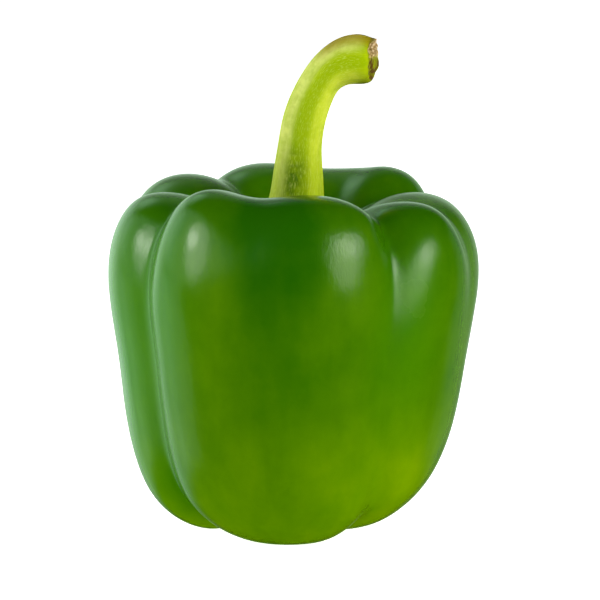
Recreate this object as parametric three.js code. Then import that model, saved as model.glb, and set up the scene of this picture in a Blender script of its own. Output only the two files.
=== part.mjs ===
// A green bell pepper standing upright on the feet of its lobes, with its calyx and bent stem.
// Millimetres, +Z up. Angles run from the front (-Y) towards the right (+X), in degrees.
// The skin and the stem are each one closed surface: rings of control values are set from pole to
// pole, furrows and swells bend every ring round the fruit, and a cubic B-spline joins the rings.

import * as THREE from 'three';

// Mesh density: columns run round a piece, rows run from pole to pole.
const FRUIT_COLUMNS = 84;
const FRUIT_ROWS = 42;
const STEM_COLUMNS = 32;
const STEM_ROWS = 40;

// Rings of the skin. A furrow takes "cut" from the radius and "drop" from the height of a ring.
// Level says where a ring lies: 0 the foot, 0.5 the side, 1 the crest, 1.5 the hollow of the top.
const RINGS = [
  { name: 'bottom pole', radius: 0, height: 8.5, cut: 0, drop: 0, level: 0 },
  { name: 'blossom hollow', radius: 6.0, height: 6.8, cut: 0.4, drop: -0.5, level: 0 },
  { name: 'foot inside', radius: 11.0, height: 1.6, cut: 1.5, drop: -3.0, level: 0 },
  { name: 'foot', radius: 17.5, height: -1.6, cut: 3.2, drop: -5.0, level: 0 },
  { name: 'foot outside', radius: 27.1, height: 1.2, cut: 4.4, drop: -4.5, level: 0.1 },
  { name: 'heel', radius: 35.6, height: 9.8, cut: 5.2, drop: -1.2, level: 0.25 },
  { name: 'lower flank', radius: 40.3, height: 25.7, cut: 5.0, drop: 0, level: 0.4 },
  { name: 'waist', radius: 42.3, height: 43.2, cut: 5.0, drop: 0, level: 0.55 },
  { name: 'upper flank', radius: 46.1, height: 59.2, cut: 5.5, drop: 0, level: 0.7 },
  { name: 'shoulder', radius: 46.5, height: 73.8, cut: 7.0, drop: 1.5, level: 0.85 },
  { name: 'shoulder top', radius: 41.8, height: 86.3, cut: 7.5, drop: 4.5, level: 1 },
  { name: 'crest', radius: 31.8, height: 89.3, cut: 5.5, drop: 7.5, level: 1 },
  { name: 'crest inside', radius: 21.0, height: 85.5, cut: 3.0, drop: 6.5, level: 1.15 },
  { name: 'hollow wall', radius: 14.5, height: 75.5, cut: 0.9, drop: 1.5, level: 1.4 },
  { name: 'calyx seat', radius: 7.0, height: 72.5, cut: 0, drop: 0, level: 1.5 },
  { name: 'top pole', radius: 0, height: 72.0, cut: 0, drop: 0, level: 1.5 },
];

// Furrows between and on the four lobes: angle at the foot, side and crest, half width and
// roundness of the bottom in degrees, and strength at the foot, side, crest and hollow.
const FURROWS = [
  { name: 'front left', angle: [-61, -59, -58], width: 11, round: 3.5, strength: [1, 0.8, 1, 1] },
  { name: 'front right', angle: [46, 31, 38], width: 9, round: 3, strength: [0.9, 0.34, 1.12, 1] },
  { name: 'right back', angle: [118, 118, 117], width: 8, round: 3, strength: [0.9, 0.7, 0.84, 1] },
  { name: 'left back', angle: [-146, -146, -146], width: 8, round: 3, strength: [1, 0.8, 0.64, 1] },
  { name: 'front middle', angle: [-13, -13, -13], width: 13, round: 7, strength: [0, 0.08, 0.42, 0.3] },
  { name: 'right middle', angle: [72, 72, 74], width: 9, round: 4, strength: [0, -0.1, 0.48, 0.35] },
  { name: 'back middle', angle: [168, 168, 168], width: 13, round: 6, strength: [0.1, 0.1, 0.12, 0.3] },
  { name: 'back inner', angle: [146, 146, 146], width: 8, round: 3, strength: [0, 0, 0.1, 0.9] },
  { name: 'left middle', angle: [-101, -101, -101], width: 9, round: 4, strength: [0.1, 0.1, 0.87, 0.5] },
];
const DROP_SPREAD = 1.4;

// Rings closer to the axis than this take less of a swell.
const FULL_SWELL_RADIUS = 17.5;

// Swells make single lobes taller, lower or narrower: radial mm at the foot, side and crest, and
// lift in mm at the foot and crest.
const SWELLS = [
  { name: 'front lobe', angle: -8, width: 24, radial: [0, 1.3, 0.7], lift: [0, 0] },
  { name: 'right lobe', angle: 82, width: 36, radial: [-7.7, 0.0, -0.65], lift: [0.5, -4.5] },
  { name: 'right lobe front', angle: 60, width: 15, radial: [0, -0.2, 1.0], lift: [0, 0.6] },
  { name: 'left lobe', angle: -84, width: 30, radial: [2.0, 0.7, -0.45], lift: [-0.4, -1.1] },
  { name: 'front left crest', angle: -41, width: 13, radial: [0, 0, -0.2], lift: [0, 1.8] },
  { name: 'front right crest', angle: 14, width: 16, radial: [0, 0, 0], lift: [0, -0.2] },
  { name: 'back lobe', angle: 170, width: 45, radial: [0, 0, 0], lift: [-0.3, -1.8] },
  { name: 'back right crest', angle: 138, width: 14, radial: [0, 0, 1.7], lift: [0, 1.7] },
  { name: 'back left crest', angle: -163, width: 16, radial: [0, 0, 1.5], lift: [0, 1.0] },
  { name: 'left back shoulder', angle: -122, width: 18, radial: [0, 0, 0.4], lift: [0, -0.3] },
  { name: 'right back shoulder', angle: 104, width: 16, radial: [0, 0, -0.8], lift: [0, 0] },
];

// The calyx lies in the hollow of the top, a small gap above the skin, with five points.
// Its reach is counted in rings of the skin from the top pole.
const CALYX_GAP = 0.35;
const CALYX_REACH = 1.95;
const CALYX_POINT_REACH = 0.38;
const CALYX_POINT_ANGLES = [-8, 58, 131, 201, 276];
const CALYX_POINT_WIDTH = 14;
const CALYX_EDGE_RISE = 0.6;
const CALYX_TOP_RISE = 1.7;

// Rings of the stem: centre, tilt towards +X, turn towards -Y, radius and depth of the grooves.
const STEM_RINGS = [
  { name: 'calyx slope', centre: [0.1, 0, 76.4], tilt: 0, turn: 0, radius: 9.6, groove: 0.05 },
  { name: 'flare', centre: [0.4, 0, 78.1], tilt: 0, turn: 0, radius: 7.4, groove: 0.08 },
  { name: 'base', centre: [1.1, 0, 82.0], tilt: 2, turn: 0, radius: 6.5, groove: 0.09 },
  { name: 'lower', centre: [1.3, 0, 88.6], tilt: 3, turn: 0, radius: 5.95, groove: 0.09 },
  { name: 'middle', centre: [1.65, 0, 93.9], tilt: 6, turn: 0, radius: 5.3, groove: 0.09 },
  { name: 'upper', centre: [2.3, 0, 98.9], tilt: 12, turn: 0, radius: 5.3, groove: 0.09 },
  { name: 'bend start', centre: [3.6, -0.1, 103.4], tilt: 24, turn: 2, radius: 5.15, groove: 0.08 },
  { name: 'bend', centre: [5.65, -0.3, 107.9], tilt: 40, turn: 4, radius: 5.05, groove: 0.07 },
  { name: 'bend end', centre: [8.15, -0.7, 112.0], tilt: 58, turn: 7, radius: 5.1, groove: 0.06 },
  { name: 'neck', centre: [12.15, -1.3, 114.8], tilt: 76, turn: 9, radius: 5.85, groove: 0.05 },
  { name: 'collar', centre: [16.4, -2.0, 115.15], tilt: 87, turn: 10, radius: 6.35, groove: 0.04 },
  { name: 'rim', centre: [19.2, -2.5, 114.8], tilt: 88, turn: 10, radius: 5.3, groove: 0.03 },
  { name: 'rim edge', centre: [20.0, -2.7, 115.9], tilt: 88, turn: 14, radius: 4.3, groove: 0.02 },
  { name: 'pith', centre: [19.8, -2.65, 117.0], tilt: 88, turn: 14, radius: 2.6, groove: 0 },
];
const STEM_TIP = [19.8, -2.65, 117.2];

// Grooves run the whole length of the stem between its ribs.
const STEM_GROOVES = [
  { angle: 4, strength: 1 },
  { angle: 68, strength: 0.7 },
  { angle: 128, strength: 0.9 },
  { angle: 196, strength: 1 },
  { angle: 252, strength: 0.8 },
  { angle: 318, strength: 0.9 },
];
const GROOVE_WIDTH = 15;
const GROOVE_ROUND = 6;
const RIB_RISE = 0.35;

const radians = (degrees) => (degrees * Math.PI) / 180;

// Difference of two angles in radians, between -pi and pi.
function turnBetween(a, b) {
  const d = a - b;
  return Math.atan2(Math.sin(d), Math.cos(d));
}

// Value at x of a line drawn through the points (xs, ys), held level past its ends.
function lerpTable(x, xs, ys) {
  if (x <= xs[0]) return ys[0];
  for (let i = 1; i < xs.length; i += 1) {
    if (x <= xs[i]) {
      const share = (x - xs[i - 1]) / (xs[i] - xs[i - 1]);
      return ys[i - 1] + share * (ys[i] - ys[i - 1]);
    }
  }
  return ys[ys.length - 1];
}

// A valley of depth 1 with a rounded bottom that fades out on both sides.
function valley(distance, width, round) {
  return Math.exp(-(Math.hypot(distance, round) - round) / width);
}

// Radius and height of one ring of the skin at an angle.
function ringPoint(ring, phi) {
  if (ring.radius === 0) return [0, ring.height];
  let { radius, height } = ring;
  for (const furrow of FURROWS) {
    const angle = radians(lerpTable(ring.level, [0, 0.5, 1], furrow.angle));
    const strength = lerpTable(ring.level, [0, 0.5, 1, 1.5], furrow.strength);
    const distance = turnBetween(phi, angle);
    const width = radians(furrow.width);
    const round = radians(furrow.round);
    radius -= ring.cut * strength * valley(distance, width, round);
    height -= ring.drop * strength * valley(distance, width * DROP_SPREAD, round * DROP_SPREAD);
  }
  for (const swell of SWELLS) {
    const share = Math.exp(-((turnBetween(phi, radians(swell.angle)) / radians(swell.width)) ** 2));
    const [foot, side, crest] = swell.radial;
    const heel = 0.2 * foot + 0.8 * side;
    const swelling = lerpTable(ring.level, [0, 0.3, 0.5, 1, 1.5], [foot, heel, side, crest, 0]);
    radius += share * swelling * Math.min(1, ring.radius / FULL_SWELL_RADIUS);
    const [footLift, crestLift] = swell.lift;
    const lifts = [footLift, footLift, 0, 0, crestLift, 0];
    height += share * lerpTable(ring.level, [0, 0.25, 0.5, 0.7, 1, 1.5], lifts);
  }
  return [radius, height];
}

// The four weights of a uniform cubic B-spline at a share u of a span.
function splineWeights(u) {
  return [
    (1 - u) ** 3 / 6,
    (3 * u ** 3 - 6 * u ** 2 + 4) / 6,
    (-3 * u ** 3 + 3 * u ** 2 + 3 * u + 1) / 6,
    u ** 3 / 6,
  ];
}

// Mixes the control rows round position t; every row is an array of numbers.
function splineAt(rows, t) {
  const span = Math.min(Math.floor(t), rows.length - 4);
  const weights = splineWeights(t - span);
  return rows[0].map((_, k) => weights.reduce((sum, w, i) => sum + w * rows[span + i][k], 0));
}

// Radius and height of the rings at one angle, mirrored past both poles so that they are smooth.
function skinProfile(phi) {
  const rows = RINGS.map((ring) => ringPoint(ring, phi));
  const mirrored = ([radius, height]) => [-radius, height];
  return [mirrored(rows[1]), ...rows, mirrored(rows[rows.length - 2])];
}

// A point of the skin at position t of a profile and an angle.
function skinPoint(profile, t, phi) {
  const [radius, height] = splineAt(profile, t);
  return [radius * Math.sin(phi), -radius * Math.cos(phi), height];
}

function average(points) {
  const sum = points.reduce((s, p) => [s[0] + p[0], s[1] + p[1], s[2] + p[2]], [0, 0, 0]);
  return sum.map((value) => value / points.length);
}

// Columns of points, each from the first pole to the last; the poles of all columns are merged.
function closePoles(columns) {
  const last = columns[0].length - 1;
  return {
    first: average(columns.map((column) => column[0])),
    last: average(columns.map((column) => column[last])),
    columns: columns.map((column) => column.slice(1, last)),
  };
}

// A closed, outward-facing triangle mesh over columns that run round the piece towards +X.
function closedMesh({ first, last, columns }) {
  const rows = columns[0].length;
  const points = [first, ...columns.flat(), last];
  const at = (column, row) => 1 + (column % columns.length) * rows + row;
  const top = points.length - 1;
  const faces = [];
  for (let c = 0; c < columns.length; c += 1) {
    faces.push(0, at(c + 1, 0), at(c, 0));
    for (let r = 0; r + 1 < rows; r += 1) {
      faces.push(at(c, r), at(c + 1, r), at(c + 1, r + 1));
      faces.push(at(c, r), at(c + 1, r + 1), at(c, r + 1));
    }
    faces.push(top, at(c, rows - 1), at(c + 1, rows - 1));
  }
  const geometry = new THREE.BufferGeometry();
  geometry.setAttribute('position', new THREE.Float32BufferAttribute(points.flat(), 3));
  geometry.setIndex(faces);
  geometry.computeVertexNormals();
  return geometry;
}

// The fruit: one solid. The feet are pressed flat where they meet the ground.
function buildFruit() {
  const span = RINGS.length - 1;
  const columns = [];
  for (let c = 0; c < FRUIT_COLUMNS; c += 1) {
    const phi = (2 * Math.PI * c) / FRUIT_COLUMNS;
    const profile = skinProfile(phi);
    const column = [];
    for (let r = 0; r < FRUIT_ROWS; r += 1) {
      const [x, y, z] = skinPoint(profile, (span * r) / (FRUIT_ROWS - 1), phi);
      column.push([x, y, Math.max(z, 0)]);
    }
    columns.push(column);
  }
  return closedMesh(closePoles(columns));
}

// A point of one ring of the stem, on a plane that is tilted and turned with the stem.
function stemPoint(ring, angle) {
  const tilt = radians(ring.tilt);
  const turn = radians(ring.turn);
  const side = [Math.cos(tilt) * Math.cos(turn), -Math.cos(tilt) * Math.sin(turn), -Math.sin(tilt)];
  const front = [-Math.sin(turn), -Math.cos(turn), 0];
  let depth = 0;
  for (const groove of STEM_GROOVES) {
    const distance = turnBetween(angle, radians(groove.angle));
    depth += groove.strength * valley(distance, radians(GROOVE_WIDTH), radians(GROOVE_ROUND));
  }
  const radius = ring.radius * (1 + ring.groove * (RIB_RISE - depth));
  return ring.centre.map(
    (value, k) => value + radius * (Math.sin(angle) * side[k] + Math.cos(angle) * front[k]),
  );
}

// Control points of the stem and calyx at one angle, from under the calyx to the cut end.
function stemProfile(angle) {
  const profile = skinProfile(angle);
  const span = RINGS.length - 1;
  let reach = CALYX_REACH;
  for (const point of CALYX_POINT_ANGLES) {
    const distance = turnBetween(angle, radians(point)) / radians(CALYX_POINT_WIDTH);
    reach += CALYX_POINT_REACH * Math.exp(-(distance ** 2));
  }
  const above = (share, rise) => {
    const [x, y, z] = skinPoint(profile, span - share * reach, angle);
    return [x, y, z + CALYX_GAP + rise];
  };
  const rows = [
    above(0, 0),
    above(0.35, 0),
    above(0.7, 0),
    above(0.96, 0),
    above(1.06, CALYX_EDGE_RISE),
    above(0.94, CALYX_TOP_RISE),
    ...STEM_RINGS.map((ring) => stemPoint(ring, angle)),
    STEM_TIP,
  ];
  const beyond = (end, next) => end.map((value, k) => 2 * value - next[k]);
  const last = rows.length - 1;
  return [beyond(rows[0], rows[1]), ...rows, beyond(rows[last], rows[last - 1])];
}

// The stem with its calyx: one solid that sits in the hollow of the fruit.
function buildStem() {
  const columns = [];
  for (let c = 0; c < STEM_COLUMNS; c += 1) {
    const profile = stemProfile((2 * Math.PI * c) / STEM_COLUMNS);
    const column = [];
    for (let r = 0; r < STEM_ROWS; r += 1) {
      column.push(splineAt(profile, ((profile.length - 3) * r) / (STEM_ROWS - 1)));
    }
    columns.push(column);
  }
  return closedMesh(closePoles(columns));
}

function meshOf(name, geometry, look) {
  const mesh = new THREE.Mesh(geometry, new THREE.MeshStandardMaterial(look));
  mesh.name = name;
  return mesh;
}

const pepper = new THREE.Group();
pepper.name = 'bell_pepper';
pepper.add(meshOf('fruit', buildFruit(), { color: 0x3a6f0c, roughness: 0.3, metalness: 0 }));
pepper.add(meshOf('stem_and_calyx', buildStem(), { color: 0x94a72c, roughness: 0.6, metalness: 0 }));

// The middle of the outline lies on the vertical axis.
const middle = new THREE.Box3().setFromObject(pepper).getCenter(new THREE.Vector3());
for (const mesh of pepper.children) mesh.geometry.translate(-middle.x, -middle.y, 0);

export default pepper;
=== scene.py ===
"""Looks of a green bell pepper standing on its lobes, with its calyx and its bent, cut stem.

The skin and the stem are each one closed surface. Rings of control values run from pole to pole,
furrows and swells bend every ring round the fruit, and a cubic B-spline joins the rings. Angles run
from the front (-Y) towards the right (+X) in degrees, and the tables of sizes are in millimetres.
"""

import logging
import math
from dataclasses import dataclass
from enum import Enum
from typing import Iterable, Sequence

import bpy
import numpy as np
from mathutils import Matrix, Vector


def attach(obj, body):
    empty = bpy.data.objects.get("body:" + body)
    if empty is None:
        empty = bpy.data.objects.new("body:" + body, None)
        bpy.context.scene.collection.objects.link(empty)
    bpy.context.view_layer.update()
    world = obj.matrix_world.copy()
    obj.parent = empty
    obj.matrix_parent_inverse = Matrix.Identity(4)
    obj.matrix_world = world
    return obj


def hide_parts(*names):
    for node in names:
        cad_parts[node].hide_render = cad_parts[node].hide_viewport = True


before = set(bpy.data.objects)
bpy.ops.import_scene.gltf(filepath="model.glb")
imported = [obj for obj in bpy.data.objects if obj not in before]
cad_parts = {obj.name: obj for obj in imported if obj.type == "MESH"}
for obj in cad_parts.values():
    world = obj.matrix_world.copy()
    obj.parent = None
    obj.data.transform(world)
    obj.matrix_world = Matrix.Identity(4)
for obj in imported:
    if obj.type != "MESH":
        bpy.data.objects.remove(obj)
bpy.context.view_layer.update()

MM = 0.001

Array = np.ndarray
Pair = tuple[float, float]
Triple = tuple[float, float, float]
Quad = tuple[float, float, float, float]
Colour = Quad
Socket = bpy.types.NodeSocket
Value = Socket | float | Sequence[float]
Material = bpy.types.Material

logging.basicConfig(level=logging.INFO, format="%(name)s: %(message)s")
log = logging.getLogger("pepper")


@dataclass(frozen=True)
class Ring:
    """One control ring of the skin.

    A furrow takes ``cut`` from its radius and ``drop`` from its height. ``level`` says where the
    ring lies: 0 the foot, 0.5 the side, 1 the crest, 1.5 the hollow of the top.
    """

    name: str
    radius: float
    height: float
    cut: float
    drop: float
    level: float


@dataclass(frozen=True)
class Furrow:
    """A valley of the skin that runs from the bottom to the hollow of the top.

    ``angle`` is given at the foot, side and crest, and ``strength`` at the foot, side, crest and
    hollow. ``width`` and ``roundness`` are in degrees.
    """

    name: str
    angle: Triple
    width: float
    roundness: float
    strength: Quad


@dataclass(frozen=True)
class Swell:
    """A lobe that is wider, taller or lower than the rings say.

    ``radial`` is given at the foot, side and crest, and ``lift`` at the foot and crest.
    """

    name: str
    angle: float
    width: float
    radial: Triple
    lift: Pair


@dataclass(frozen=True)
class StemRing:
    """One control ring of the stem: its centre, tilt towards +X, turn towards -Y and radius."""

    name: str
    centre: Triple
    tilt: float
    turn: float
    radius: float
    groove: float


RINGS = (
    Ring("bottom pole", 0.0, 8.5, 0.0, 0.0, 0.0),
    Ring("blossom hollow", 6.0, 6.8, 0.4, -0.5, 0.0),
    Ring("foot inside", 11.0, 1.6, 1.5, -3.0, 0.0),
    Ring("foot", 17.5, -1.6, 3.2, -5.0, 0.0),
    Ring("foot outside", 27.1, 1.2, 4.4, -4.5, 0.1),
    Ring("heel", 35.6, 9.8, 5.2, -1.2, 0.25),
    Ring("lower flank", 40.3, 25.7, 5.0, 0.0, 0.4),
    Ring("waist", 42.3, 43.2, 5.0, 0.0, 0.55),
    Ring("upper flank", 46.1, 59.2, 5.5, 0.0, 0.7),
    Ring("shoulder", 46.5, 73.8, 7.0, 1.5, 0.85),
    Ring("shoulder top", 41.8, 86.3, 7.5, 4.5, 1.0),
    Ring("crest", 31.8, 89.3, 5.5, 7.5, 1.0),
    Ring("crest inside", 21.0, 85.5, 3.0, 6.5, 1.15),
    Ring("hollow wall", 14.5, 75.5, 0.9, 1.5, 1.4),
    Ring("calyx seat", 7.0, 72.5, 0.0, 0.0, 1.5),
    Ring("top pole", 0.0, 72.0, 0.0, 0.0, 1.5),
)

FURROWS = (
    Furrow("front left", (-61, -59, -58), 11, 3.5, (1.0, 0.8, 1.0, 1.0)),
    Furrow("front right", (46, 31, 38), 9, 3.0, (0.9, 0.34, 1.12, 1.0)),
    Furrow("right back", (118, 118, 117), 8, 3.0, (0.9, 0.7, 0.84, 1.0)),
    Furrow("left back", (-146, -146, -146), 8, 3.0, (1.0, 0.8, 0.64, 1.0)),
    Furrow("front middle", (-13, -13, -13), 13, 7.0, (0.0, 0.08, 0.42, 0.3)),
    Furrow("right middle", (72, 72, 74), 9, 4.0, (0.0, -0.1, 0.48, 0.35)),
    Furrow("back middle", (168, 168, 168), 13, 6.0, (0.1, 0.1, 0.12, 0.3)),
    Furrow("back inner", (146, 146, 146), 8, 3.0, (0.0, 0.0, 0.1, 0.9)),
    Furrow("left middle", (-101, -101, -101), 9, 4.0, (0.1, 0.1, 0.87, 0.5)),
)

SWELLS = (
    Swell("front lobe", -8, 24, (0.0, 1.3, 0.7), (0.0, 0.0)),
    Swell("right lobe", 82, 36, (-7.7, 0.0, -0.65), (0.5, -4.5)),
    Swell("right lobe front", 60, 15, (0.0, -0.2, 1.0), (0.0, 0.6)),
    Swell("left lobe", -84, 30, (2.0, 0.7, -0.45), (-0.4, -1.1)),
    Swell("front left crest", -41, 13, (0.0, 0.0, -0.2), (0.0, 1.8)),
    Swell("front right crest", 14, 16, (0.0, 0.0, 0.0), (0.0, -0.2)),
    Swell("back lobe", 170, 45, (0.0, 0.0, 0.0), (-0.3, -1.8)),
    Swell("back right crest", 138, 14, (0.0, 0.0, 1.7), (0.0, 1.7)),
    Swell("back left crest", -163, 16, (0.0, 0.0, 1.5), (0.0, 1.0)),
    Swell("left back shoulder", -122, 18, (0.0, 0.0, 0.4), (0.0, -0.3)),
    Swell("right back shoulder", 104, 16, (0.0, 0.0, -0.8), (0.0, 0.0)),
)

STEM_RINGS = (
    StemRing("calyx slope", (0.1, 0.0, 76.4), 0, 0, 9.6, 0.05),
    StemRing("flare", (0.4, 0.0, 78.1), 0, 0, 7.4, 0.08),
    StemRing("base", (1.1, 0.0, 82.0), 2, 0, 6.5, 0.09),
    StemRing("lower", (1.3, 0.0, 88.6), 3, 0, 5.95, 0.09),
    StemRing("middle", (1.65, 0.0, 93.9), 6, 0, 5.3, 0.09),
    StemRing("upper", (2.3, 0.0, 98.9), 12, 0, 5.3, 0.09),
    StemRing("bend start", (3.6, -0.1, 103.4), 24, 2, 5.15, 0.08),
    StemRing("bend", (5.65, -0.3, 107.9), 40, 4, 5.05, 0.07),
    StemRing("bend end", (8.15, -0.7, 112.0), 58, 7, 5.1, 0.06),
    StemRing("neck", (12.15, -1.3, 114.8), 76, 9, 5.85, 0.05),
    StemRing("collar", (16.4, -2.0, 115.15), 87, 10, 6.35, 0.04),
    StemRing("rim", (19.2, -2.5, 114.8), 88, 10, 5.3, 0.03),
    StemRing("rim edge", (20.0, -2.7, 115.9), 88, 14, 4.3, 0.02),
    StemRing("pith", (19.8, -2.65, 117.0), 88, 14, 2.6, 0.0),
)


def srgb(red: int, green: int, blue: int) -> Colour:
    """Turn an 8-bit display colour into the linear colour that the shaders take.

    Args:
        red: Red from 0 to 255.
        green: Green from 0 to 255.
        blue: Blue from 0 to 255.

    Returns:
        The linear colour with an alpha of 1.
    """
    parts = np.array([red, green, blue]) / 255
    linear = np.where(parts <= 0.04045, parts / 12.92, ((parts + 0.055) / 1.055) ** 2.4)
    return (*map(float, linear), 1.0)


def turn_between(a: Array, degrees: float | Array) -> Array:
    """Return how far the angles ``a`` lie from an angle in degrees, between -pi and pi."""
    return (a - np.radians(degrees) + np.pi) % (2 * np.pi) - np.pi


def heading(azimuth: float, elevation: float) -> Array:
    """Return the unit vector (sin a cos e, -cos a cos e, sin e) of two angles in degrees."""
    a, e = math.radians(azimuth), math.radians(elevation)
    return np.array([math.sin(a) * math.cos(e), -math.cos(a) * math.cos(e), math.sin(e)])


def valley(distance: Array, width: float, roundness: float) -> Array:
    """Return a valley of depth 1 with a rounded bottom: exp(-(hypot(d, e) - e) / w)."""
    return np.exp(-(np.hypot(distance, roundness) - roundness) / width)


def bell(distance: Array, half: float) -> Array:
    """Return a smooth bump of height 1: exp(-(d / h) squared)."""
    return np.exp(-((distance / half) ** 2))


def bell_round(phi: Array, centre: float | Array, half: float) -> Array:
    """Return a smooth bump round an angle, with its centre and half width in degrees."""
    return bell(turn_between(phi, centre), math.radians(half))


def smooth_step(low: float, high: float, x: Array) -> Array:
    """Return 0 below ``low``, 1 above ``high`` and a smooth ramp in between."""
    share = np.clip((x - low) / (high - low), 0, 1)
    return share * share * (3 - 2 * share)


def spline(rows: Array, t: Array) -> Array:
    """Mix control rows into a uniform cubic B-spline.

    Row k sits at t = k - 1, so the first and last rows only steer the ends.

    Args:
        rows: Control values of shape (rows, columns, values).
        t: Positions of shape (samples, columns).

    Returns:
        Values of shape (samples, columns, values).
    """
    span = np.clip(np.floor(t).astype(int), 0, len(rows) - 4)
    u = (t - span)[..., None]
    weights = ((1 - u) ** 3, 3 * u**3 - 6 * u**2 + 4, -3 * u**3 + 3 * u**2 + 3 * u + 1, u**3)
    columns = np.arange(rows.shape[1])
    return sum(weight * rows[span + k, columns] for k, weight in enumerate(weights)) / 6


def ripples(points: Array, shortest: float, longest: float, count: int, seed: int) -> Array:
    """Sum plane waves of random direction, length and phase into a soft, uneven relief.

    Args:
        points: Places of shape (..., 3).
        shortest: Shortest wave in the points' unit.
        longest: Longest wave in the points' unit.
        count: Number of waves.
        seed: Seed of the random draw.

    Returns:
        Heights of shape (...), mostly between -1 and 1.
    """
    draw = np.random.default_rng(seed)
    directions = draw.normal(size=(count, 3))
    directions /= np.linalg.norm(directions, axis=1, keepdims=True)
    lengths = draw.uniform(shortest, longest, count)
    phases = draw.uniform(0, 2 * np.pi, count)
    waves = points @ (directions * (2 * np.pi / lengths)[:, None]).T + phases
    return np.sin(waves).sum(-1) / math.sqrt(count)


@dataclass(frozen=True)
class Patch:
    """A patch of another shade on the skin, by angle in degrees and height in millimetres.

    ``firmness`` is 2 for a soft patch and 4 for one with a flat middle and a clearer edge.
    """

    name: str
    angle: float
    height: float
    half_angle: float
    half_height: float
    firmness: float
    shade: float

    def at(self, phi: Array, height: Array) -> Array:
        """Work out the patch: its shade times exp(-hypot(angle, height) to the firmness).

        Args:
            phi: Angles in radians.
            height: Heights in millimetres.

        Returns:
            The change of shade.
        """
        away = turn_between(phi, self.angle) / math.radians(self.half_angle)
        up = (height - self.height) / self.half_height
        return self.shade * np.exp(-(np.hypot(away, up) ** self.firmness))


PATCHES = (
    Patch("front dark band", -5, 74, 15, 20, 4, -0.44),
    Patch("front dark middle", -2, 43, 17, 13, 2, -0.22),
    Patch("front low middle", -6, 8, 20, 12, 2, -0.14),
    Patch("front crest", 4, 88, 22, 8, 2, -0.12),
    Patch("front left shoulder", -40, 83, 22, 7, 2, -0.12),
    Patch("front left cheek", -30, 20, 14, 12, 2, -0.09),
    Patch("front right cheek", 15, 22, 14, 10, 2, 0.14),
    Patch("right valley", 36, 27, 10, 12, 2, 0.1),
    Patch("right flank", 54, 46, 12, 14, 2, -0.1),
    Patch("right flank top", 52, 68, 18, 10, 2, -0.1),
    Patch("right lobe top", 52, 82, 24, 8, 2, -0.2),
    Patch("right heel", 50, 16, 22, 13, 2, 0.24),
    Patch("right edge", 78, 42, 16, 26, 2, 0.12),
    Patch("left edge", -92, 46, 26, 34, 2, 0.06),
    Patch("left lobe top", -76, 80, 24, 8, 2, -0.14),
    # Painted shade: the left heel patch darkens the crevice at the foot of the front-left furrow.
    Patch("left heel", -56, 12, 12, 9, 2, -0.32),
    Patch("back left", -150, 40, 26, 26, 2, 0.1),
    Patch("back right", 140, 62, 22, 20, 2, -0.2),
    Patch("back middle", 176, 24, 26, 16, 2, 0.1),
)

COOL_PATCHES = (
    Patch("left lobe", -84, 46, 26, 34, 2, 0.9),
    Patch("front left flank", -46, 62, 13, 26, 2, 0.5),
    Patch("right valley", 40, 50, 12, 22, 2, 0.4),
    Patch("back left", -150, 60, 30, 26, 2, 0.5),
    Patch("back right", 130, 50, 24, 34, 2, 0.5),
)

CRINKLES = (
    Patch("front right shoulder", 17, 75, 11, 9, 2, 0.9),
    Patch("left furrow", -54, 48, 5, 12, 2, 0.8),
    Patch("right shoulder", 48, 72, 16, 10, 2, 0.4),
    Patch("left shoulder", -74, 72, 14, 10, 2, 0.4),
    Patch("back shoulder", 172, 72, 16, 10, 2, 0.6),
)

DULL_PATCHES = (
    Patch("right valley", 42, 61, 9, 11, 2, 0.45),
    Patch("left furrow", -59, 48, 8, 30, 2, 0.3),
)


def spread(patches: Iterable[Patch], phi: Array, height: Array) -> Array:
    """Return the sum of the patches, held between 0 and 1."""
    return sum(patch.at(phi, height) for patch in patches).clip(0, 1)


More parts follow.
